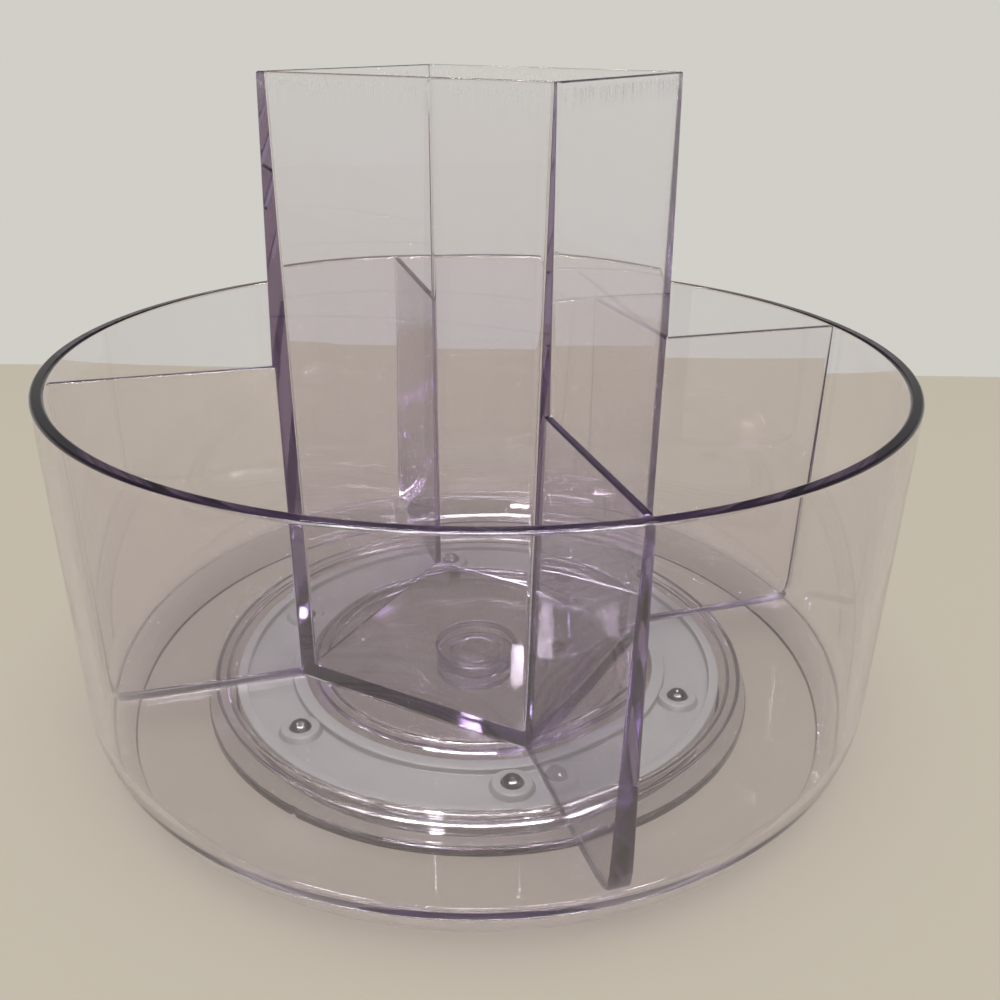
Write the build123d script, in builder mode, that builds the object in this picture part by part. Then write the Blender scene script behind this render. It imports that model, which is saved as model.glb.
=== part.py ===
from build123d import *
import os
from math import asin, atan, cos, degrees, sin, sqrt

# Rotating makeup organizer: a clear round bin with a loose divider insert, turning on a ball race
# over a small base disc. Millimetres, +Z up. The origin is on the turning axis, in the plane that
# the base stands on. The insert's square tube has its walls across X and Y.

# Driving sizes: balls and their groove
ball_count = 6
ball_diameter = 6.35
ball_circle_radius = 62.5
first_ball_angle = 6.7
ball_play = 0.15
groove_depth = 0.75

# Driving sizes: ball cage
cage_sheet = 1.3
cage_rim_height = 3.2
cage_inner_reach = 9.2
cage_outer_reach = 10.9
cage_inner_rim = 3.9
cage_outer_rim = 2.9
cage_ground_gap = 0.75
collar_foot_wall = 3.4
collar_top_wall = 2.0
collar_rise = 1.1

# Driving sizes: base disc
base_plate = 2.75
base_foot_wall = 2.5
base_foot_inset = 8.0
base_margin = 3.0
base_edge_rounding = 1.0
gate_notch_angle = -96.0
gate_notch_width = 1.6
gate_notch_depth = 0.8

# Driving sizes: hub and its plug
hub_boss_radius = 12.0
spigot_radius = 7.7
spigot_clearance = 0.1
hub_end_play = 0.3
plug_shank_radius = 4.9
plug_shank_length = 6.0
plug_end_gap = 0.5
plug_flange_radius = 12.0
plug_flange_thickness = 1.6
plug_ground_gap = 0.95

# Driving sizes: bin
rim_radius = 115.0
bin_wall = 3.3
bin_floor = 1.9
bin_depth = 92.6
shoulder_radius = 113.2
shoulder_rise = 8.0
skirt_arc_radius = 28.5
skirt_wall = 2.0
skirt_ground_gap = 1.5
rim_rounding = 0.8
skirt_rounding = 0.6
floor_fillet = 1.5
race_rib_height = 2.6
inner_rib_wall = 3.0
inner_rib_gap = 2.4
outer_rib_wall = 3.0
outer_rib_gap = 2.6

# Driving sizes: divider insert
tower_rise = 71.4
tower_top_width = 77.9
tower_rim_width = 80.0
tower_foot_width = 81.0
tower_top_wall = 1.45
tower_foot_wall = 5.8
tower_floor = 3.0
tower_inner_rounding = 1.5
divider_count = 4
divider_top_thickness = 2.0
divider_foot_thickness = 5.8
divider_clearance = 0.4
divider_corner = 4.5

# Heights, from the surface upwards
base_underside = plug_ground_gap + plug_flange_thickness + hub_end_play
base_top = base_underside + base_plate
ball_radius = ball_diameter / 2
groove_radius = ball_radius + ball_play
ball_height = base_top + groove_radius - groove_depth
floor_underside = ball_height + ball_radius + ball_play
floor_top = floor_underside + bin_floor
shoulder_height = floor_top + shoulder_rise
rim_height = floor_top + bin_depth
tower_top = rim_height + tower_rise

# Radii of the ball race, from the ball circle both ways
cage_inner_radius = ball_circle_radius - cage_inner_reach
cage_outer_radius = ball_circle_radius + cage_outer_reach
inner_rib_radius = cage_inner_radius - inner_rib_gap
outer_rib_radius = cage_outer_radius + outer_rib_gap + outer_rib_wall
base_radius = outer_rib_radius + base_margin
ball_angles = [first_ball_angle + 360 / ball_count * number for number in range(ball_count)]

# The bin's outer surface: a drafted wall that runs tangent into the arc of the skirt
wall_draft = atan((rim_radius - shoulder_radius) / (rim_height - shoulder_height))
arc_centre_radius = shoulder_radius - skirt_arc_radius * cos(wall_draft)
arc_centre_height = shoulder_height + skirt_arc_radius * sin(wall_draft)


def arc_angle(inset, height):
    """Angle in degrees, on the arc that lies inset inside the bin's surface, at a height."""
    return degrees(asin((height - arc_centre_height) / (skirt_arc_radius - inset)))


def arc_point(inset, height):
    """Radius and height of the point of that arc at a height."""
    reach = skirt_arc_radius - inset
    return (arc_centre_radius + sqrt(reach**2 - (height - arc_centre_height) ** 2), height)


def wall_point(inset, height):
    """Radius and height of the point of the straight wall, moved in by inset, at a height."""
    taper = (rim_height - height) * (rim_radius - shoulder_radius) / (rim_height - shoulder_height)
    return (rim_radius - taper - inset / cos(wall_draft), height)


def shell_arc(inset, low, high):
    """Draw the arc part of the bin's line, moved in by inset, between two heights."""
    centre = (arc_centre_radius, arc_centre_height)
    start = arc_angle(inset, high)
    CenterArc(centre, skirt_arc_radius - inset, start, arc_angle(inset, low) - start)


def shell_line(inset, low, high):
    """Draw the bin's line, moved in by inset, from a height on the wall down to one on the arc."""
    turn_height = arc_centre_height - (skirt_arc_radius - inset) * sin(wall_draft)
    Line(wall_point(inset, high), wall_point(inset, turn_height))
    shell_arc(inset, low, turn_height)


def square_between(height, low, high, low_width, high_width):
    """Width at a height of a square tube that tapers evenly between two heights."""
    return low_width + (high_width - low_width) * (height - low) / (high - low)


# Base disc: a plate on a foot ring, with the groove that the balls run in and the spigot's hole
with BuildPart() as base_disc:
    with BuildSketch(Plane.XY.offset(base_underside)):
        Circle(base_radius)
    extrude(amount=base_plate)
    fillet(base_disc.edges().sort_by(Axis.Z)[-1], min(base_edge_rounding, 0.4 * base_plate))
    with BuildSketch(Plane.XY):
        Circle(base_radius - base_foot_inset)
        Circle(base_radius - base_foot_inset - base_foot_wall, mode=Mode.SUBTRACT)
    extrude(amount=base_underside)
    with Locations((0, 0, ball_height)):
        Torus(ball_circle_radius, groove_radius, mode=Mode.SUBTRACT)
    with Locations((0, 0, base_top)):
        Hole(spigot_radius + spigot_clearance, depth=base_plate)
    with BuildSketch(Plane.XY.offset(base_underside)):
        with PolarLocations(base_radius, 1, start_angle=gate_notch_angle):
            Rectangle(2 * gate_notch_depth, gate_notch_width)
    extrude(amount=base_plate, mode=Mode.SUBTRACT)
base_disc.part.label = "base_disc"

# Ball cage: a ring sheet with a raised rim along each edge and a tapered collar round each ball,
# whose spherical pocket ends in a lip above the ball's middle, so that the cage rides on the balls
with BuildPart() as ball_cage:
    cage_bottom = base_top + cage_ground_gap
    with BuildSketch(Plane.XY.offset(cage_bottom)):
        Circle(cage_outer_radius)
        Circle(cage_inner_radius, mode=Mode.SUBTRACT)
    extrude(amount=cage_sheet)
    with BuildSketch(Plane.XY.offset(cage_bottom)):
        Circle(cage_outer_radius)
        Circle(cage_outer_radius - cage_outer_rim, mode=Mode.SUBTRACT)
        Circle(cage_inner_radius + cage_inner_rim)
        Circle(cage_inner_radius, mode=Mode.SUBTRACT)
    extrude(amount=cage_rim_height)
    with Locations((0, 0, cage_bottom)):
        with PolarLocations(ball_circle_radius, ball_count, start_angle=first_ball_angle):
            Cone(groove_radius + collar_foot_wall, groove_radius + collar_top_wall,
                 ball_height + collar_rise - cage_bottom, align=(Align.CENTER, Align.CENTER, Align.MIN))
    with BuildSketch(Plane.XY.offset(cage_bottom)):
        with PolarLocations(ball_circle_radius, ball_count, start_angle=first_ball_angle):
            Circle(groove_radius)
    extrude(amount=ball_height - cage_bottom, mode=Mode.SUBTRACT)
    with Locations((0, 0, ball_height)):
        with PolarLocations(ball_circle_radius, ball_count, start_angle=first_ball_angle):
            Sphere(groove_radius, mode=Mode.SUBTRACT)
ball_cage.part.label = "ball_cage"

# Balls: loose in the cage's pockets, between the base's groove and the bin's flat floor
balls = []
for number, angle in enumerate(ball_angles, start=1):
    with BuildPart() as ball:
        with Locations((0, 0, ball_height)):
            with PolarLocations(ball_circle_radius, 1, start_angle=angle):
                Sphere(ball_radius)
    ball.part.label = f"ball_{number}"
    balls.append(ball.part)

# Bin: wall, floor and skirt in one section, then the two ribs beside the ball race and the hub
spigot_end = base_underside - hub_end_play
with BuildPart() as bin_shell:
    with BuildSketch(Plane.XZ):
        with BuildLine():
            shell_line(0, skirt_ground_gap, rim_height)
            Line(wall_point(0, rim_height), wall_point(bin_wall, rim_height))
            shell_line(bin_wall, floor_top, rim_height)
            Polyline(arc_point(bin_wall, floor_top), (0, floor_top), (0, floor_underside),
                     arc_point(skirt_wall, floor_underside))
            shell_arc(skirt_wall, skirt_ground_gap, floor_underside)
            Line(arc_point(skirt_wall, skirt_ground_gap), arc_point(0, skirt_ground_gap))
        make_face()
    revolve(axis=Axis.Z)
    circles = bin_shell.edges().filter_by(GeomType.CIRCLE)
    fillet(circles.filter_by_position(Axis.Z, floor_top - 0.01, floor_top + 0.01), floor_fillet)
    circles = bin_shell.edges().filter_by(GeomType.CIRCLE)
    fillet(circles.group_by(Axis.Z)[-1], min(rim_rounding, 0.4 * bin_wall))
    circles = bin_shell.edges().filter_by(GeomType.CIRCLE)
    fillet(circles.group_by(Axis.Z)[0], min(skirt_rounding, 0.4 * skirt_wall))
    with BuildSketch(Plane.XY.offset(floor_underside)):
        Circle(inner_rib_radius)
        Circle(inner_rib_radius - inner_rib_wall, mode=Mode.SUBTRACT)
    extrude(amount=-race_rib_height)
    with BuildSketch(Plane.XY.offset(floor_underside)):
        Circle(outer_rib_radius)
        Circle(outer_rib_radius - outer_rib_wall, mode=Mode.SUBTRACT)
    extrude(amount=-race_rib_height)
    with BuildSketch(Plane.XY.offset(floor_underside)):
        Circle(hub_boss_radius)
    extrude(amount=base_top + hub_end_play - floor_underside)
    with BuildSketch(Plane.XY.offset(floor_underside)):
        Circle(spigot_radius)
    extrude(amount=spigot_end - floor_underside)
    with BuildSketch(Plane.XY.offset(spigot_end)):
        Circle(plug_shank_radius)
    extrude(amount=plug_shank_length + plug_end_gap, mode=Mode.SUBTRACT)
bin_shell.part.label = "bin"

# Hub plug: a flange under the base plate on a shank pressed into the spigot
with BuildPart() as hub_plug:
    with BuildSketch(Plane.XY.offset(spigot_end)):
        Circle(plug_flange_radius)
    extrude(amount=-plug_flange_thickness)
    with BuildSketch(Plane.XY.offset(spigot_end)):
        Circle(plug_shank_radius)
    extrude(amount=plug_shank_length)
hub_plug.part.label = "hub_plug"

# One divider, drawn along +X from the axis outwards: a blade that thins towards the rim, whose
# outer edge follows the bin's inner surface at the divider's clearance
with BuildPart() as divider:
    with BuildSketch(Plane.YZ):
        with BuildLine():
            Polyline((-divider_foot_thickness / 2, floor_top), (divider_foot_thickness / 2, floor_top),
                     (divider_top_thickness / 2, rim_height), (-divider_top_thickness / 2, rim_height),
                     close=True)
        make_face()
    extrude(amount=rim_radius)
    edge_inset = bin_wall + divider_clearance
    with BuildSketch(Plane.XZ) as divider_side:
        with BuildLine():
            shell_line(edge_inset, floor_top, rim_height)
            Polyline(arc_point(edge_inset, floor_top), (0, floor_top), (0, rim_height),
                     wall_point(edge_inset, rim_height))
        make_face()
        fillet(divider_side.vertices().group_by(Axis.Y)[0].sort_by(Axis.X)[-1], divider_corner)
    extrude(amount=divider_foot_thickness, both=True, mode=Mode.INTERSECT)

# Divider insert: the tube's tapered outside, the dividers from its corners, then the tube's inside
with BuildPart() as divider_insert:
    with BuildSketch(Plane.XY.offset(floor_top)):
        Rectangle(tower_foot_width, tower_foot_width)
    with BuildSketch(Plane.XY.offset(rim_height)):
        Rectangle(tower_rim_width, tower_rim_width)
    loft(ruled=True)
    with BuildSketch(Plane.XY.offset(rim_height)):
        Rectangle(tower_rim_width, tower_rim_width)
    with BuildSketch(Plane.XY.offset(tower_top)):
        Rectangle(tower_top_width, tower_top_width)
    loft(ruled=True)
    with PolarLocations(0, divider_count, start_angle=180 / divider_count):
        add(divider.part)
    inner_top_width = tower_top_width - 2 * tower_top_wall
    inner_foot_width = tower_foot_width - 2 * tower_foot_wall
    inner_floor = floor_top + tower_floor
    inner_floor_width = square_between(inner_floor, floor_top, tower_top, inner_foot_width, inner_top_width)
    with BuildSketch(Plane.XY.offset(inner_floor)):
        RectangleRounded(inner_floor_width, inner_floor_width, tower_inner_rounding)
    with BuildSketch(Plane.XY.offset(tower_top)):
        RectangleRounded(inner_top_width, inner_top_width, tower_inner_rounding)
    loft(ruled=True, mode=Mode.SUBTRACT)
divider_insert.part.label = "divider_insert"

# One file for each piece
os.makedirs("parts", exist_ok=True)
for piece in [base_disc.part, ball_cage.part, *balls, bin_shell.part, hub_plug.part, divider_insert.part]:
    export_step(piece, f"parts/{piece.label}.step")
    print(piece.label, len(piece.solids()), "solid,", round(piece.volume), "mm3")
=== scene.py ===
# %% [markdown]
# # A rotating makeup organizer in clear plastic
#
# The object is a round clear bin that turns on a ball race over a small base disc. A loose insert, a
# tall square tube with four dividers, stands in it. Almost all of it is one material: clear moulded
# plastic, seen through itself many times over. Such a thing is drawn by its edges, so this lesson
# spends its effort on true wall thicknesses, small roundings and a plastic that takes a little of the
# light along every millimetre.
#
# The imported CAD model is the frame. Its nodes say where everything is, and each new surface here
# stands for one of them.

import bpy
import numpy as np
from mathutils import Matrix, Vector


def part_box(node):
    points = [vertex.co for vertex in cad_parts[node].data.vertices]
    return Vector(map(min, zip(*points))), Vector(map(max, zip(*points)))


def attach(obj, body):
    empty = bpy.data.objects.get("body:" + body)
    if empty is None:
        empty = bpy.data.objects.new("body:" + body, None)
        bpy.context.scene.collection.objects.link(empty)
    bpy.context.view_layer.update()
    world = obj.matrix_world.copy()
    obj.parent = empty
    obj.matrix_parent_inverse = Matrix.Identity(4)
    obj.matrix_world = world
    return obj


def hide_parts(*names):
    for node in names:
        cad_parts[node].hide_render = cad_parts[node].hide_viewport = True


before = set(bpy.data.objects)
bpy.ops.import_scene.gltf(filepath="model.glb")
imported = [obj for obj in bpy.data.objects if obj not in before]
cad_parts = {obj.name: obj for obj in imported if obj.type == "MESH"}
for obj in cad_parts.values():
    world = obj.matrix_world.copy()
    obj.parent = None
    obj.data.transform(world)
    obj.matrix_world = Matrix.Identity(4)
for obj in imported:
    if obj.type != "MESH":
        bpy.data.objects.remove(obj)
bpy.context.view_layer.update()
mm = 0.001
print("nodes:", sorted(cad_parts))

# %% [markdown]
# ## Sizes
#
# Heights and places come from the frame. Wall thicknesses and roundings can't be read from a box, so
# they are named here, in millimetres of the real object.

# %% Heights and radii of the frame
floor_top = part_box("divider_insert")[0].z
tube_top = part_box("divider_insert")[1].z
skirt_end, rim_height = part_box("bin")[0].z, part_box("bin")[1].z
base_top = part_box("base_disc")[1].z
base_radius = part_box("base_disc")[1].x
plug_low, plug_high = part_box("hub_plug")[0].z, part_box("hub_plug")[1].z
cage_low, cage_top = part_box("ball_cage")[0].z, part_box("ball_cage")[1].z
cage_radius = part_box("ball_cage")[1].x
ball_names = sorted(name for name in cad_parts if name.startswith("ball_") and name != "ball_cage")
ball_places = np.array([(np.array(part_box(name)[0]) + np.array(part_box(name)[1])) / 2 for name in ball_names])
ball_radius = (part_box("ball_1")[1].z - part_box("ball_1")[0].z) / 2
print("balls:", len(ball_names), "radius", round(ball_radius / mm, 3), "mm")

# %% Wall thicknesses and roundings
rim_radius = 115.0 * mm
shoulder_radius = 113.2 * mm
shoulder_height = floor_top + 8.0 * mm
skirt_arc = 28.5 * mm
bin_wall = 3.3 * mm
skirt_wall = 2.0 * mm
floor_fillet = 1.5 * mm
hair_gap = 0.06 * mm
ball_play = 0.15 * mm
ball_circle = float(np.hypot(*ball_places[0, :2]))
ball_height = float(ball_places[0, 2])
pocket_radius = ball_radius + ball_play
floor_under = ball_height + pocket_radius
print("floor of the bin:", round((floor_top - floor_under) / mm, 2), "mm thick")

# %% [markdown]
# ## A surface of revolution
#
# Bin, base, plug and cage are turned shapes: one outline carried round an axis. The outline is a list
# of corners, each with its own rounding, because a moulded edge is never sharp and its small arc is
# what catches the light. The exact normal of every outline point is kept, so that the wide flat faces
# beside the small arcs stay optically flat.


# %% Outline with rounded corners
def rounded_path(corners, closed=True, steps=6):
    """Points and outward normals of an outline whose corners (r, z, rounding) become arcs.

    An arc starts rounding * tan(turn / 2) before its corner, where turn is the change of heading, and
    its centre lies one rounding to the side that the outline turns to. The outline runs with its solid
    on the left, so the outward normal is the heading turned a quarter to the right."""
    corners = np.asarray(corners, float)
    points, rounding = corners[:, :2], corners[:, 2]
    run_in = points - np.roll(points, 1, axis=0)
    run_out = np.roll(run_in, -1, axis=0)
    heading_in = np.arctan2(run_in[:, 1], run_in[:, 0])
    heading_out = np.arctan2(run_out[:, 1], run_out[:, 0])
    if not closed:
        heading_in[0] = heading_out[0]
        heading_out[-1] = heading_in[-1]
    turn = (heading_out - heading_in + np.pi) % (2 * np.pi) - np.pi
    side = np.where(turn < 0, -1.0, 1.0)
    heading = heading_in[:, None] + turn[:, None] * np.linspace(0, 1, steps + 1)
    taken = rounding * np.tan(np.abs(turn) / 2)
    spare = (np.hypot(*run_out.T) - taken - np.roll(taken, -1))[:len(points) - (not closed)]
    assert spare.min() > -hair_gap / 10, f"roundings overlap after corner {spare.argmin()}"
    start = points - np.stack([np.cos(heading_in), np.sin(heading_in)], 1) * taken[:, None]
    left_in = np.stack([-np.sin(heading_in), np.cos(heading_in)], 1)
    centre = start + left_in * (side * rounding)[:, None]
    left = np.stack([-np.sin(heading), np.cos(heading)], 2)
    arcs = centre[:, None] - left * (side * rounding)[:, None, None]
    middle = np.arange(steps + 1) == steps // 2
    keep = (rounding[:, None] > 0) | middle
    return arcs[keep], -left[keep]


def arc_corners(centre, radius, start, end, count):
    """Corners without rounding along an arc, from angle start to angle end in degrees."""
    angle = np.radians(np.linspace(start, end, count))
    return np.stack([centre[0] + radius * np.cos(angle), centre[1] + radius * np.sin(angle), 0 * angle], 1)


# %% Carry an outline round an axis
def lathe(outline, angles, closed=True, centre=(0.0, 0.0), dent=None):
    """Vertices, normals and faces of an outline turned round the vertical axis through centre.

    Point i of the outline at angle a is (x, y, z) = (cx + r cos a, cy + r sin a, z). An open outline
    starts and ends on the axis, where its ring of points shrinks to one pole. dent takes a share off
    the radius, one value for each outline point and angle."""
    points, normals = outline
    radius = points[:, :1] - (0 if dent is None else dent)
    count, turns = len(points), len(angles)
    ring = np.stack([np.cos(angles), np.sin(angles)], 1)
    height = np.repeat(points[:, 1:, None], turns, 1)
    rise = np.repeat(normals[:, 1:, None], turns, 1)
    place = np.concatenate([radius[..., None] * ring[None], height], 2)
    normal = np.concatenate([normals[:, :1, None] * ring[None], rise], 2)
    place[..., :2] += centre
    index = np.arange(count * turns).reshape(count, turns)
    rows = index if closed else index[1:-1]
    here, above = (rows, np.roll(rows, -1, 0)) if closed else (rows[:-1], rows[1:])
    quads = np.stack([here, np.roll(here, -1, 1), np.roll(above, -1, 1), above], 2).reshape(-1, 4)
    if closed:
        return place.reshape(-1, 3), normal.reshape(-1, 3), quads.tolist()
    used = np.concatenate([[index[0, 0]], rows.ravel(), [index[-1, 0]]])
    new = np.zeros(count * turns, int)
    new[used] = np.arange(len(used))
    first, last = rows[0], rows[-1]
    fans = np.concatenate([
        np.stack([np.full(turns, index[0, 0]), np.roll(first, -1), first], 1),
        np.stack([np.full(turns, index[-1, 0]), last, np.roll(last, -1)], 1)])
    faces = new[quads].tolist() + new[fans].tolist()
    return place.reshape(-1, 3)[used], normal.reshape(-1, 3)[used], faces


# %% [markdown]
# ## From arrays to a piece
#
# A piece needs more than its mesh: it rides on one body of the model, so that it moves with it, and it
# takes its material. One function does all of that in the same order for every piece. Where the exact
# normals are known, they go in as well. Without them Blender would average the normals of neighbouring
# faces, and the flat walls would look slightly bent.


# %% Put a surface into the scene
def add_piece(name, vertices, faces, body, material, normals=None):
    """A smooth mesh object at the origin that rides on a body, with exact normals where they are given."""
    mesh = bpy.data.meshes.new(name)
    mesh.from_pydata(np.asarray(vertices).tolist(), [], faces)
    mesh.validate()
    mesh.shade_smooth()
    if normals is not None:
        unit = normals / np.linalg.norm(normals, axis=1, keepdims=True)
        mesh.normals_split_custom_set_from_vertices(unit.tolist())
    mesh.materials.append(material)
    piece = bpy.data.objects.new(name, mesh)
    bpy.context.scene.collection.objects.link(piece)
    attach(piece, body)
    print(name, len(mesh.vertices), "vertices,", len(mesh.polygons), "faces")
    return piece


def full_turn(count):
    """Angles of an even full turn, in radians."""
    return np.arange(count) * 2 * np.pi / count


# %% [markdown]
# ## Materials
#
# Three materials make the whole object: clear polystyrene for the mouldings, frosted polypropylene for
# the ball cage, and polished steel. The clear plastic could be a thin see-through shader, but then its
# edges would stay pale. A real edge is dark violet because light runs a long way through the plastic
# there, so the colour sits in the volume and the surface itself is almost white. Light that falls on
# matt things behind the plastic goes straight through it, which keeps shadows pale and free of noise.


# %% Colour and node helpers
def linear(code):
    """Linear colour of an sRGB hex code: below 0.04045 the value over 12.92, above it a power of 2.4."""
    value = np.array([int(code[i:i + 2], 16) for i in (1, 3, 5)]) / 255
    return (*np.where(value <= 0.04045, value / 12.92, ((value + 0.055) / 1.055) ** 2.4), 1.0)


def add_node(owner, kind, links=(), **settings):
    """One node of a material or the world, with its settings and its links.

    A link is (input name or number, output socket). A setting is a socket's value or a node's property."""
    made = owner.node_tree.nodes.new(kind)
    for key, value in settings.items():
        socket = key.replace("_", " ")
        if socket in made.inputs:
            made.inputs[socket].default_value = value
        else:
            setattr(made, key, value)
    for key, source in links:
        owner.node_tree.links.new(made.inputs[key], source)
    return made


def new_material(name):
    """A material with an empty node tree."""
    material = bpy.data.materials.new(name)
    material.use_nodes = True
    material.node_tree.nodes.clear()
    return material


# %% Clear polystyrene, injection moulded in a polished tool
def clear_polystyrene():
    """Solid glass-like plastic, which shows as bright lines and violet edges with little between them.

    Its skin keeps the wide ripples of cooling, 24 mm apart, and upright flow lines 5 mm apart and some
    seventeen times as long. Hands leave smudges about 28 mm wide. The scuffs at the tube's top are drawn
    0.7 mm apart: real ones are ten times as fine and would not show."""
    material = new_material("clear_polystyrene_moulded")
    place = add_node(material, "ShaderNodeTexCoord").outputs["Object"]
    drawn_out = add_node(material, "ShaderNodeMapping", [("Vector", place)], Scale=(1.0, 1.0, 0.06))
    upright = drawn_out.outputs["Vector"]
    ripple = add_node(material, "ShaderNodeTexNoise", [("Vector", place)], Scale=1 / (24 * mm), Detail=1.0)
    flow = add_node(material, "ShaderNodeTexNoise", [("Vector", upright)], Scale=1 / (5 * mm), Detail=2.0)
    skin = add_node(material, "ShaderNodeMath", [(0, flow.outputs["Fac"]), (2, ripple.outputs["Fac"])],
                    operation="MULTIPLY_ADD")
    skin.inputs[1].default_value = 0.1
    split = add_node(material, "ShaderNodeSeparateXYZ", [("Vector", place)])
    near_top = add_node(material, "ShaderNodeMapRange", [("Value", split.outputs["Z"])],
                        From_Min=tube_top - 9 * mm, From_Max=tube_top - 2 * mm)
    streaks = add_node(material, "ShaderNodeTexNoise", [("Vector", upright)], Scale=1 / (0.7 * mm),
                       Detail=3.0)
    scuffed = add_node(material, "ShaderNodeMapRange", [("Value", streaks.outputs["Fac"])],
                       From_Min=0.42, From_Max=0.7, To_Max=0.4)
    below_edge = add_node(material, "ShaderNodeMapRange", [("Value", split.outputs["Z"]),
                                                           ("To Min", scuffed.outputs["Result"])],
                          From_Min=tube_top - 2.0 * mm, From_Max=tube_top - 0.6 * mm, To_Max=0.0)
    scuff = add_node(material, "ShaderNodeMath",
                     [(0, near_top.outputs["Result"]), (1, below_edge.outputs["Result"])],
                     operation="MULTIPLY")
    handled = add_node(material, "ShaderNodeTexNoise", [("Vector", place)], Scale=1 / (28 * mm), Detail=5.0)
    smudge = add_node(material, "ShaderNodeMapRange", [("Value", handled.outputs["Fac"])],
                      From_Min=0.5, From_Max=0.75, To_Min=0.005, To_Max=0.03)
    rough = add_node(material, "ShaderNodeMath",
                     [(0, smudge.outputs["Result"]), (1, scuff.outputs["Value"])], operation="ADD")
    bump = add_node(material, "ShaderNodeBump", [("Height", skin.outputs["Value"])], Strength=1.0,
                    Distance=0.015 * mm)
    plastic = add_node(material, "ShaderNodeBsdfPrincipled",
                       [("Normal", bump.outputs["Normal"]), ("Roughness", rough.outputs["Value"])],
                       Base_Color=linear("#fdfcfd"), IOR=1.58, Transmission_Weight=1.0)
    through = add_node(material, "ShaderNodeBsdfTransparent", Color=linear("#fcfcfc"))
    rays = add_node(material, "ShaderNodeLightPath")
    lit = add_node(material, "ShaderNodeMath",
                   [(0, rays.outputs["Is Shadow Ray"]), (1, rays.outputs["Is Diffuse Ray"])],
                   operation="MAXIMUM")
    mixed = add_node(material, "ShaderNodeMixShader",
                     [("Fac", lit.outputs["Value"]), (1, plastic.outputs["BSDF"]),
                      (2, through.outputs["BSDF"])])
    tint = add_node(material, "ShaderNodeVolumeAbsorption", Color=(0.18, 0.0, 0.34, 1.0), Density=16.0)
    add_node(material, "ShaderNodeOutputMaterial",
             [("Surface", mixed.outputs["Shader"]), ("Volume", tint.outputs["Volume"])])
    return material


# %% Frosted polypropylene, moulded in a grained tool
def frosted_polypropylene():
    """Milky, half clear plastic, which blurs what lies under it and glows softly in the light.

    The tool's grain is drawn at 0.35 mm, a few times its real size, so that it shows. The faint clouds,
    9 mm wide, are where the plastic cooled unevenly."""
    material = new_material("frosted_polypropylene")
    place = add_node(material, "ShaderNodeTexCoord").outputs["Object"]
    grain = add_node(material, "ShaderNodeTexNoise", [("Vector", place)], Scale=1 / (0.35 * mm), Detail=2.0)
    bump = add_node(material, "ShaderNodeBump", [("Height", grain.outputs["Fac"])], Strength=0.4,
                    Distance=0.03 * mm)
    cloud = add_node(material, "ShaderNodeTexNoise", [("Vector", place)], Scale=1 / (9 * mm), Detail=3.0)
    body = add_node(material, "ShaderNodeMixRGB", [("Fac", cloud.outputs["Fac"])],
                    Color1=linear("#d5d5d0"), Color2=linear("#e7e7e2"))
    plastic = add_node(material, "ShaderNodeBsdfPrincipled", [("Normal", bump.outputs["Normal"]),
                                                             ("Base Color", body.outputs["Color"])],
                       Roughness=0.3, IOR=1.49, Transmission_Weight=0.4)
    add_node(material, "ShaderNodeOutputMaterial", [("Surface", plastic.outputs["BSDF"])])
    return material


# %% Bearing steel, ground and polished
def bearing_steel():
    """Balls that mirror the whole room in a few millimetres, a little dulled by rolling in their track.

    The dull marks are drawn 0.8 mm apart. Real ones are finer than the render can show."""
    material = new_material("bearing_steel_polished")
    place = add_node(material, "ShaderNodeTexCoord").outputs["Object"]
    wear = add_node(material, "ShaderNodeTexNoise", [("Vector", place)], Scale=1 / (0.8 * mm), Detail=3.0)
    rough = add_node(material, "ShaderNodeMapRange", [("Value", wear.outputs["Fac"])],
                     To_Min=0.04, To_Max=0.13)
    steel = add_node(material, "ShaderNodeBsdfPrincipled", [("Roughness", rough.outputs["Result"])],
                     Base_Color=linear("#8b8a88"), Metallic=1.0)
    add_node(material, "ShaderNodeOutputMaterial", [("Surface", steel.outputs["BSDF"])])
    return material


# %% Make the three materials
clear = clear_polystyrene()
frosted = frosted_polypropylene()
steel = bearing_steel()
for material in (clear, frosted, steel):
    print(material.name, len(material.node_tree.nodes), "nodes")

# %% [markdown]
# ## The bin
#
# The bin is one clear moulding. Its wall leans outwards by a degree so that it leaves the mould, and
# curves inwards below the floor into a skirt that hides the ball race. From the floor hang two ribs,
# which keep dust out of the race, and a spigot for the hub plug. Spinning one outline gives all of it at
# once. A cylinder with a solidify modifier would be quicker, but its wall could not thin out from
# 3.3 mm above the floor to 2 mm in the skirt, and that change draws the lines seen near the floor.

# %% The wall's draft and the skirt's arc
wall_draft = np.arctan((rim_radius - shoulder_radius) / (rim_height - shoulder_height))
draft_degrees = np.degrees(wall_draft)
arc_centre = (shoulder_radius - skirt_arc * np.cos(wall_draft),
              shoulder_height + skirt_arc * np.sin(wall_draft))
print("the wall leans out by", round(draft_degrees, 2), "degrees")


def wall_radius(inset, height):
    """Radius of the drafted wall, moved in by inset: it loses tan(draft) for each unit below the rim."""
    return rim_radius - (rim_height - height) * np.tan(wall_draft) - inset / np.cos(wall_draft)


def arc_angle(inset, height):
    """Angle in degrees at which the skirt's arc, moved in by inset, has a height."""
    return np.degrees(np.arcsin((height - arc_centre[1]) / (skirt_arc - inset)))


def arc_radius_at(inset, height):
    """Radius from the axis of the skirt's arc, moved in by inset, at a height."""
    return arc_centre[0] + np.sqrt((skirt_arc - inset) ** 2 - (height - arc_centre[1]) ** 2)


def shell_corners(inset, low, high, count=40):
    """Corners along the skirt's arc, moved in by inset, from height low to height high."""
    return arc_corners(arc_centre, skirt_arc - inset, arc_angle(inset, low), arc_angle(inset, high), count)


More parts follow.
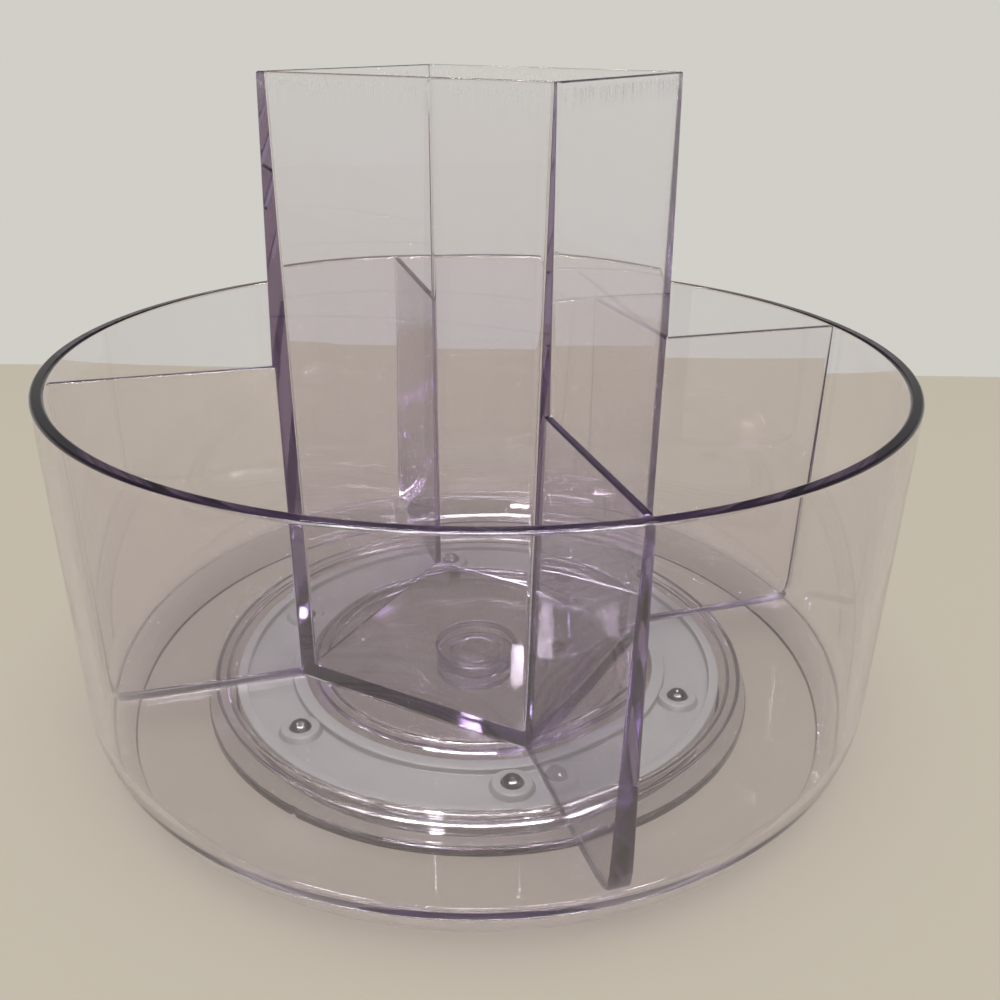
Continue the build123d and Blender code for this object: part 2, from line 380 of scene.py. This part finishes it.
# %% Spigot and ribs under the floor
bore_radius = 4.9 * mm
spigot_radius = 7.7 * mm
boss_radius = 12.0 * mm
spigot_end = plug_high - 6.0 * mm
bore_top = plug_high + 0.5 * mm
running_gap = 0.3 * mm
inner_rib = np.array([47.9, 50.9]) * mm
outer_rib = np.array([76.0, 79.0]) * mm
rib_low = floor_under - 2.6 * mm


def rib_corners(rib):
    """Corners of a rib that hangs from the floor's underside, from its inner foot to its outer one."""
    small = 0.8 * mm
    return [(rib[0], floor_under, small), (rib[0], rib_low, small), (rib[1], rib_low, small),
            (rib[1], floor_under, small)]


print("ribs end", round((rib_low - base_top) / mm, 2), "mm above the base disc")

# %% Spin the bin
rim_rounding = 0.8 * mm
bin_corners = np.concatenate([
    [(0.0, bore_top, 0), (bore_radius, bore_top, 0.3 * mm), (bore_radius, spigot_end, 0.3 * mm),
     (spigot_radius, spigot_end, 0.4 * mm), (spigot_radius, base_top + running_gap, 0.3 * mm),
     (boss_radius, base_top + running_gap, 0.4 * mm), (boss_radius, floor_under, 0.6 * mm)],
    rib_corners(inner_rib),
    rib_corners(outer_rib),
    [(arc_radius_at(skirt_wall, floor_under), floor_under, 0.5 * mm)],
    shell_corners(skirt_wall, floor_under - 0.7 * mm, skirt_end + 1.6 * mm, 24),
    [(arc_radius_at(skirt_wall, skirt_end), skirt_end, 0.8 * mm),
     (arc_radius_at(0, skirt_end), skirt_end, 1.2 * mm)],
    arc_corners(arc_centre, skirt_arc, arc_angle(0, skirt_end + 1.0 * mm), -draft_degrees, 40),
    [(rim_radius, rim_height, rim_rounding),
     (wall_radius(bin_wall, rim_height), rim_height, rim_rounding)],
    arc_corners(arc_centre, skirt_arc - bin_wall, -draft_degrees,
                arc_angle(bin_wall, floor_top + 1.1 * mm), 12),
    [(arc_radius_at(bin_wall, floor_top), floor_top, floor_fillet), (0.0, floor_top, 0)]])
vertices, normals, faces = lathe(rounded_path(bin_corners, closed=False), full_turn(360), closed=False)
bin_piece = add_piece("clear_bin", vertices, faces, "bin", clear, normals)
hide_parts("bin")

# %% [markdown]
# ## Base disc and hub plug
#
# The base disc stays still while the bin turns on it. It stands on a ring foot, and a shallow groove in
# its top guides the balls. A small notch in its edge is where the plastic entered the mould. The notch
# is a dent in the turned surface: a few more angles are set there, and the radius gives way only beyond
# the notch's depth, so no boolean is needed. The plug is pushed into the bin's spigot from below, and
# its flange keeps the bin from being lifted off.

# %% Base disc
hub_hole = 7.8 * mm
flange_thick = 1.6 * mm
base_under = plug_low + flange_thick + running_gap
foot_outer = base_radius - 8.0 * mm
foot_inner = foot_outer - 2.5 * mm
groove_half = np.degrees(np.arccos((ball_height - base_top) / pocket_radius))
base_corners = np.concatenate([
    [(hub_hole, base_under, 0.3 * mm), (foot_inner, base_under, 0.5 * mm), (foot_inner, 0.0, 0.3 * mm),
     (foot_outer, 0.0, 0.3 * mm), (foot_outer, base_under, 0.5 * mm), (base_radius, base_under, 0.4 * mm),
     (base_radius, base_top, 1.0 * mm)],
    arc_corners((ball_circle, ball_height), pocket_radius, groove_half - 90, -90 - groove_half, 9),
    [(hub_hole, base_top, 0.3 * mm)]])
outline = rounded_path(base_corners)
print("foot ring:", round(2 * foot_inner / mm, 1), "to", round(2 * foot_outer / mm, 1), "mm across")

# %% Notch in the base disc's edge
notch_angle = np.radians(-96.0)
notch_half = 0.8 * mm / base_radius
notch_depth = 0.8 * mm
ramp = 0.15
notch_edges = notch_angle + notch_half * np.array([-1 - ramp, -1, 1, 1 + ramp])
base_angles = np.sort(np.concatenate([full_turn(300) - np.pi, notch_edges]))
in_notch = np.clip((1 + ramp - np.abs(base_angles - notch_angle) / notch_half) / ramp, 0, 1)
beyond = np.maximum(outline[0][:, :1] - (base_radius - notch_depth), 0)
vertices, normals, faces = lathe(outline, base_angles, dent=beyond * in_notch[None])
base_piece = add_piece("clear_base", vertices, faces, "base", clear, normals)
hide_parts("base_disc")

# %% Hub plug
shank = bore_radius - hair_gap
flange_radius = 12.0 * mm
flange_top = spigot_end - hair_gap
plug_corners = [(0.0, plug_low, 0), (flange_radius, plug_low, 0.4 * mm),
                (flange_radius, flange_top, 0.4 * mm), (shank, flange_top, 0.2 * mm),
                (shank, plug_high, 0.4 * mm), (0.0, plug_high, 0)]
vertices, normals, faces = lathe(rounded_path(plug_corners, closed=False), full_turn(96), closed=False)
plug_piece = add_piece("clear_hub_plug", vertices, faces, "bin", clear, normals)
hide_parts("hub_plug")

# %% [markdown]
# ## Balls and their cage
#
# Six steel balls carry the bin. The frosted cage is a flat ring with a raised edge on both sides and six
# low collars, which hold the balls at even distances. A collar closes over the ball by a fraction of a
# millimetre, so that the balls snap in. Ring and collars are turned shapes too, and two booleans join
# them: one opens the holes, the other adds the collars. It is one of the few places where a boolean is
# better than a formula, because the collars run into the ring's raised edges.

# %% Steel balls
ball_outline = [(ball_radius * np.cos(a), ball_height + ball_radius * np.sin(a), 0)
                for a in np.radians(np.linspace(-90, 90, 33))]
for name, place in zip(ball_names, ball_places):
    vertices, normals, faces = lathe(rounded_path(ball_outline, closed=False), full_turn(64), closed=False,
                                     centre=place[:2])
    ball = add_piece("steel_" + name, vertices, faces, name, steel, vertices - place)
    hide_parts(name)

# %% The cage's ring
small = 0.35 * mm
outer_edge, inner_edge = 2.9 * mm, 3.9 * mm
cage_rim_top = cage_low + 3.2 * mm
cage_sheet_top = cage_low + 1.3 * mm
cage_hole = ball_circle - 9.2 * mm
ring_corners = [(cage_hole, cage_low, small), (cage_radius, cage_low, small),
                (cage_radius, cage_rim_top, small), (cage_radius - outer_edge, cage_rim_top, small),
                (cage_radius - outer_edge, cage_sheet_top, small),
                (cage_hole + inner_edge, cage_sheet_top, small),
                (cage_hole + inner_edge, cage_rim_top, small), (cage_hole, cage_rim_top, small)]
vertices, normals, faces = lathe(rounded_path(ring_corners), full_turn(240))
cage_piece = add_piece("frosted_cage", vertices, faces, "cage", frosted)
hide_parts("ball_cage")


# %% Several at once, and joined
def several(outline, places, count, closed):
    """Vertices and faces of one turned outline repeated at several places."""
    all_vertices, all_faces = [], []
    for place in places:
        vertices, _, faces = lathe(outline, full_turn(count), closed=closed, centre=place[:2])
        start = sum(len(v) for v in all_vertices)
        all_faces += [[v + start for v in face] for face in faces]
        all_vertices.append(vertices)
    return np.concatenate(all_vertices), all_faces


def combine(piece, vertices, faces, operation):
    """Add other solids to a piece, or take them away, and keep the result as its mesh."""
    mesh = bpy.data.meshes.new("tool")
    mesh.from_pydata(vertices.tolist(), [], faces)
    tool = bpy.data.objects.new("tool", mesh)
    bpy.context.scene.collection.objects.link(tool)
    change = piece.modifiers.new("change", "BOOLEAN")
    change.operation, change.object, change.solver = operation, tool, "EXACT"
    result = bpy.data.meshes.new_from_object(piece.evaluated_get(bpy.context.evaluated_depsgraph_get()))
    piece.modifiers.clear()
    piece.data = result
    bpy.data.objects.remove(tool)


# %% Holes and collars
ball_hole = 4.6 * mm
collar_foot, collar_head = 3.4 * mm, 2.0 * mm
collar_top = ball_height + 1.1 * mm
lip_angle = np.degrees(np.arcsin((collar_top - ball_height) / pocket_radius))
cutter = rounded_path([(0.0, cage_low - 1 * mm, 0), (ball_hole, cage_low - 1 * mm, 0),
                       (ball_hole, cage_top + 1 * mm, 0), (0.0, cage_top + 1 * mm, 0)], closed=False)
collar = rounded_path(np.concatenate([
    [(pocket_radius, cage_low, 0.2 * mm), (pocket_radius + collar_foot, cage_low, 0.3 * mm),
     (pocket_radius + collar_head, collar_top, 0.6 * mm)],
    arc_corners((0, ball_height), pocket_radius, lip_angle, 0, 8)]))
vertices, faces = several(cutter, ball_places, 72, closed=False)
combine(cage_piece, vertices, faces, "DIFFERENCE")
vertices, faces = several(collar, ball_places, 72, closed=True)
combine(cage_piece, vertices, faces, "UNION")
cage_piece.data.set_sharp_from_angle(angle=np.radians(35))
print("cage:", len(cage_piece.data.polygons), "faces")

# %% [markdown]
# ## The divider insert
#
# One moulding: a square tube that narrows upwards, and four blades that run from its corners to the
# bin's wall. Each blade is thicker at its foot, so that it leaves the mould, and its outer edge follows
# the bin's wall down into the skirt's curve. Every level of it is the same sixteen-sided outline, so the
# surface is one grid of level by outline point, closed by flat faces at the rim, the foot and the top.
# Its edges then get a small rounding, which shows as the thin bright line along each of them.

# %% Sizes of the insert
tube_half_floor, tube_half_rim, tube_half_top = 40.5 * mm, 40.0 * mm, 38.95 * mm
tube_wall_floor, tube_wall_top = 5.8 * mm, 1.45 * mm
blade_half_floor, blade_half_rim = 2.9 * mm, 1.0 * mm
print("tube:", round(2 * tube_half_floor / mm, 1), "mm wide at the floor,",
      round(2 * tube_half_top / mm, 1), "mm at the top")

# %% The blades' outer edge
edge_inset = bin_wall + 0.4 * mm
corner = 4.5 * mm
insert_low = floor_top + hair_gap
corner_height = insert_low + corner
edge_reach = skirt_arc - edge_inset
drop = arc_centre[1] - corner_height
corner_centre = (arc_centre[0] + np.sqrt((edge_reach - corner) ** 2 - drop ** 2), corner_height)
corner_end = -np.degrees(np.arcsin(drop / (edge_reach - corner)))
edge_line = np.concatenate([
    arc_corners(corner_centre, corner, -90, corner_end, 9),
    arc_corners(arc_centre, edge_reach, corner_end, -draft_degrees, 5)[1:],
    [(wall_radius(edge_inset, rim_height), rim_height, 0)]])[:, :2]
print("the blades end", round(edge_inset / mm, 1), "mm inside the bin's outer face")


# %% Insert outline at each level
def between(height, low, high, first, last):
    """Value at a height that changes evenly from first to last between the heights low and high."""
    return first + (last - first) * (height - low) / (high - low)


def insert_levels(line):
    """Sixteen points at each level of the blade's edge line (reach, height).

    In the frame of a blade, u runs outwards along it and v across it. A blade of half thickness t leaves
    the square tube of half width w where u = w * sqrt(2) - t and v = -t or t, and ends at u = reach."""
    reach, height = line[:, 0], line[:, 1]
    half = between(height, floor_top, rim_height, tube_half_floor, tube_half_rim)
    thick = between(height, floor_top, rim_height, blade_half_floor, blade_half_rim)
    joint = half * np.sqrt(2) - thick
    u = np.stack([joint, reach, reach, joint], 1)
    v = np.stack([-thick, -thick, thick, thick], 1)
    turns = np.radians(45 + 90 * np.arange(4))[None, :, None]
    x = u[:, None] * np.cos(turns) - v[:, None] * np.sin(turns)
    y = u[:, None] * np.sin(turns) + v[:, None] * np.cos(turns)
    z = np.broadcast_to(height[:, None, None], x.shape)
    return np.stack([x, y, z], 3).reshape(len(line), 16, 3)


def square_ring(half, height, rounding, steps=5):
    """Points of a level square outline with rounded corners, counter-clockwise from its +X +Y corner."""
    turns = np.radians(90 * np.arange(4))[:, None]
    arc = np.radians(np.linspace(0, 90, steps + 1)) if rounding else np.radians([45.0])
    centre = half - rounding
    x = centre + rounding * np.cos(arc)[None]
    y = centre + rounding * np.sin(arc)[None]
    spun_x = x * np.cos(turns) - y * np.sin(turns)
    spun_y = x * np.sin(turns) + y * np.cos(turns)
    return np.stack([spun_x, spun_y, np.full(spun_x.shape, height)], 2).reshape(-1, 3)


# %% Vertices of the insert
levels = insert_levels(edge_line)
count = len(levels)
inner_low = floor_top + 3.0 * mm
inner_rounding = 1.5 * mm
inner_top = tube_half_top - tube_wall_top
inner_foot = between(inner_low, floor_top, tube_top, tube_half_floor - tube_wall_floor, inner_top)
rings = [square_ring(tube_half_rim, rim_height, 0), square_ring(tube_half_top, tube_top, 0),
         square_ring(inner_foot, inner_low, inner_rounding), square_ring(inner_top, tube_top, inner_rounding)]
vertices = np.concatenate([levels.reshape(-1, 3), *rings])
print("insert:", count, "levels of 16 points, then rings of", [len(ring) for ring in rings])

# %% Faces of the insert
corner_at = count * 16
top_at = corner_at + 4
low_at = top_at + 4
inner = len(rings[2])
high_at = low_at + inner
arc_points = inner // 4
index = np.arange(count * 16).reshape(count, 16)
next_one = np.roll(index, -1, 1)
faces = np.stack([index[:-1], next_one[:-1], next_one[1:], index[1:]], 2).reshape(-1, 4).tolist()
faces.append(index[0, ::-1].tolist())
rim = index[-1].reshape(4, 4)
for k in range(4):
    after = (k + 1) % 4
    faces.append([*rim[k].tolist(), corner_at + k])
    faces.append([corner_at + k, int(rim[k, 3]), int(rim[after, 0]), corner_at + after,
                  top_at + after, top_at + k])
    first, last = high_at + k * arc_points, high_at + (k + 1) * arc_points - 1
    faces += [[top_at + k, point + 1, point] for point in range(first, last)]
    faces.append([top_at + k, top_at + after, high_at + after * arc_points, last])
ring = np.arange(inner)
faces += np.stack([low_at + ring, high_at + ring, high_at + np.roll(ring, -1), low_at + np.roll(ring, -1)],
                  1).tolist()
faces.append((low_at + ring).tolist())
insert_piece = add_piece("clear_divider_insert", vertices, faces, "insert", clear)


# %% Angle at every edge
def read(items, key, shape=(-1,), kind=float):
    """One value of every item of a mesh collection, as an array."""
    width = 1 if len(shape) == 1 else shape[1]
    values = np.zeros(len(items) * width, kind)
    items.foreach_get(key, values)
    return values.reshape(shape)


def edge_turns(mesh):
    """Angle between the two faces of every edge: the arc cosine of their normals' product."""
    normals = read(mesh.polygons, "normal", (-1, 3))
    sizes = read(mesh.polygons, "loop_total", kind=int)
    edges = read(mesh.loops, "edge_index", kind=int)
    face = np.repeat(np.arange(len(sizes)), sizes)[np.argsort(edges, kind="stable")].reshape(-1, 2)
    return np.arccos(np.clip((normals[face[:, 0]] * normals[face[:, 1]]).sum(1), -1, 1))


# %% Rounding of every edge
edge_rounding, blade_rounding, top_rounding, foot_rounding = 0.4 * mm, 0.7 * mm, 0.6 * mm, 0.8 * mm
tube_reach = 70 * mm
bent = np.radians(30)
mesh = insert_piece.data
ends = read(mesh.vertices, "co", (-1, 3))[read(mesh.edges, "vertices", (-1, 2), int)]
lowest, highest = ends[..., 2].min(1), ends[..., 2].max(1)
reach = np.hypot(ends[..., 0], ends[..., 1]).min(1)
width = np.full(len(ends), edge_rounding)
width[(reach > tube_reach) & (highest < rim_height + hair_gap)] = blade_rounding
width[lowest > tube_top - hair_gap] = top_rounding
width[highest < insert_low + hair_gap] = foot_rounding
width[edge_turns(mesh) < bent] = 0
mesh.attributes.new("bevel_weight_edge", "FLOAT", "EDGE").data.foreach_set("value", width / foot_rounding)
print("rounded edges:", int((width > 0).sum()), "of", len(width))
rounding = insert_piece.modifiers.new("moulded edges", "BEVEL")
rounding.width = foot_rounding
rounding.segments = 5
rounding.limit_method = "WEIGHT"
rounding.use_clamp_overlap = False
weighting = insert_piece.modifiers.new("flat faces stay flat", "WEIGHTED_NORMAL")
weighting.mode = "FACE_AREA"
weighting.weight = 100
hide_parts("divider_insert")

# %% [markdown]
# ## Camera, floor and light
#
# The camera stands where the lines of the photograph meet: it was solved from the rim's ellipse and the
# tube's upright edges. Floor and surroundings are plain and pale. Clear plastic needs two kinds of light.
# One wide panel lights matt surfaces evenly and is hidden from reflections, where it would wash out the
# dark edges. Thin bright strips and small lamps do the opposite: only polished surfaces mirror them, and
# they draw the white lines along the roundings.

# %% Camera
camera_place = np.array([136.06, -248.31, 186.93]) * mm
heading, pitch, roll = np.radians([117.524, 23.916, 0.745])
forward = np.array([np.cos(pitch) * np.cos(heading), np.cos(pitch) * np.sin(heading), -np.sin(pitch)])
level = np.array([np.sin(heading), -np.cos(heading), 0.0])
upward = np.cross(level, forward)
right = np.cos(roll) * level + np.sin(roll) * upward
up = np.cross(right, forward)
camera = bpy.data.objects.new("camera", bpy.data.cameras.new("camera"))
camera.matrix_world = Matrix(np.column_stack([right, up, -forward]).tolist()).to_4x4()
camera.location = camera_place
camera.data.sensor_width = 36.0
camera.data.lens = 38.22
camera.data.clip_start = 0.01
bpy.context.scene.collection.objects.link(camera)
bpy.context.scene.camera = camera
print("camera:", round(np.linalg.norm(camera_place), 3), "m from the foot, looking down by",
      round(np.degrees(pitch), 1), "degrees")


# %% Floor
def plain_material(name, code):
    """Matt paint of one colour."""
    material = new_material(name)
    paint = add_node(material, "ShaderNodeBsdfDiffuse", Color=linear(code))
    add_node(material, "ShaderNodeOutputMaterial", [("Surface", paint.outputs["BSDF"])])
    return material


def plane(name, corners, material):
    """One flat face of the studio, which is not part of the object."""
    mesh = bpy.data.meshes.new(name)
    mesh.from_pydata([tuple(c) for c in corners], [], [(0, 1, 2, 3)])
    mesh.materials.append(material)
    made = bpy.data.objects.new(name, mesh)
    bpy.context.scene.collection.objects.link(made)
    return made


away = np.array([np.cos(heading), np.sin(heading), 0.0])
side = np.array([away[1], -away[0], 0.0])
floor_far, floor_near, floor_wide = 0.33, 1.6, 1.6
floor_level = np.array([0, 0, -hair_gap])
far_edge, near_edge = away * floor_far + floor_level, away * -floor_near + floor_level
floor_corners = [far_edge - side * floor_wide, near_edge - side * floor_wide,
                 near_edge + side * floor_wide, far_edge + side * floor_wide]
plane("studio_floor", floor_corners, plain_material("matt_floor_paint", "#c4bcae"))
print("the floor ends", floor_far, "m behind the object")


# %% Lamps
def softbox(name, place, size, power, matt=True, gloss=True):
    """A rectangular lamp aimed at the object, level across its width.

    matt says whether it lights matt surfaces, gloss whether clear and polished ones mirror it."""
    light = bpy.data.lights.new(name, "AREA")
    light.shape, light.size, light.size_y = "RECTANGLE", size[0], size[1]
    light.energy = power
    lamp = bpy.data.objects.new(name, light)
    lamp.location = place
    lamp.rotation_euler = (-Vector(place)).to_track_quat("-Z", "Y").to_euler()
    lamp.visible_diffuse = matt
    lamp.visible_glossy = lamp.visible_transmission = gloss
    bpy.context.scene.collection.objects.link(lamp)
    print(name, size, "m,", power, "W")


def toward(azimuth, elevation, distance):
    """Point at a distance from the origin, at an azimuth from +X and an elevation, both in degrees."""
    a, e = np.radians([azimuth, elevation])
    return tuple(distance * np.array([np.cos(e) * np.cos(a), np.cos(e) * np.sin(a), np.sin(e)]))


strip_distance, spot_distance = 1.6, 1.7
spot_places = [(-105, 60), (-5, 62), (-80, 40), (-35, 42)]
softbox("ceiling_panel", (0.4, -0.7, 3.0), (2.2, 2.2), 70, gloss=False)
softbox("strip_near", toward(-58.5, 58, strip_distance), (1.8, 0.12), 26, matt=False)
softbox("strip_far", toward(118.5, 65, strip_distance), (1.0, 0.1), 12, matt=False)
for number, (azimuth, elevation) in enumerate(spot_places, start=1):
    softbox(f"spot_{number}", toward(azimuth, elevation, spot_distance), (0.16, 0.16), 6, matt=False)

# %% [markdown]
# ## The surroundings
#
# The world does two jobs. To the eye, and in whatever the plastic mirrors or lets through, it is a pale
# room that darkens from a low height upwards, because the dark edges of clear plastic are reflections of
# dark surroundings. To everything else it is one even, weak light. Light Path tells the two apart. Light
# that runs inside the walls is turned back dozens of times, so many bounces are allowed, and bright
# indirect light isn't clamped, because the small white glints are just that.

# %% World
world = bpy.data.worlds.new("studio")
bpy.context.scene.world = world
world.use_nodes = True
direction = add_node(world, "ShaderNodeTexCoord")
split = add_node(world, "ShaderNodeSeparateXYZ", [("Vector", direction.outputs["Generated"])])
seen = add_node(world, "ShaderNodeMapRange", [("Value", split.outputs["Z"])],
                From_Min=0.12, From_Max=0.4, To_Min=0.7, To_Max=0.1)
rays = add_node(world, "ShaderNodeLightPath")
mirrored = add_node(world, "ShaderNodeMath",
                    [(0, rays.outputs["Is Camera Ray"]), (1, rays.outputs["Is Glossy Ray"])],
                    operation="MAXIMUM")
visible = add_node(world, "ShaderNodeMath",
                   [(0, mirrored.outputs["Value"]), (1, rays.outputs["Is Transmission Ray"])],
                   operation="MAXIMUM")
strength = add_node(world, "ShaderNodeMapRange",
                    [("Value", visible.outputs["Value"]), ("To Max", seen.outputs["Result"])], To_Min=0.45)
sky = world.node_tree.nodes["Background"]
sky.inputs["Color"].default_value = linear("#f4f2ea")
world.node_tree.links.new(sky.inputs["Strength"], strength.outputs["Result"])
print("world:", len(world.node_tree.nodes), "nodes")

# %% Bounces of the light
bpy.context.scene.view_settings.view_transform = "Standard"
cycles = bpy.context.scene.cycles
cycles.max_bounces = cycles.transmission_bounces = cycles.glossy_bounces = 96
cycles.transparent_max_bounces = 48
cycles.diffuse_bounces = 4
cycles.caustics_refractive = cycles.caustics_reflective = False
cycles.sample_clamp_indirect = 0
print("light turns at most", cycles.max_bounces, "times")
